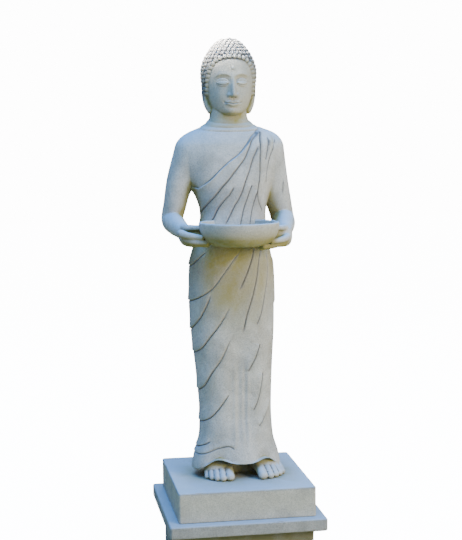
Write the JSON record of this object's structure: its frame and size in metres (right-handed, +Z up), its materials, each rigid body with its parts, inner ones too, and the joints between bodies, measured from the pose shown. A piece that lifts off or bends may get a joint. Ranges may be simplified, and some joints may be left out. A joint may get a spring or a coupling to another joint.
{
  "type": "standing garden statue on a low pedestal",
  "caption": "Standing robed figure in cast stone, holding a hollow alms bowl before it, on a square slab and a low moulded pedestal.",
  "frame": {"origin": "centre of the pedestal's square underside, on the ground", "axes": "+Z up through the figure; the figure faces -Y; +X is to the right of someone who looks at its face"},
  "size_m": [0.412, 0.4434, 1.4553],
  "materials": {
    "cast_stone": "matte cast stone, weathered",
    "pedestal_stone": "matte cast stone, weathered"
  },
  "bodies": {
    "root": {"statue": "cast_stone", "pedestal": "pedestal_stone"}
  },
  "joints": []
}
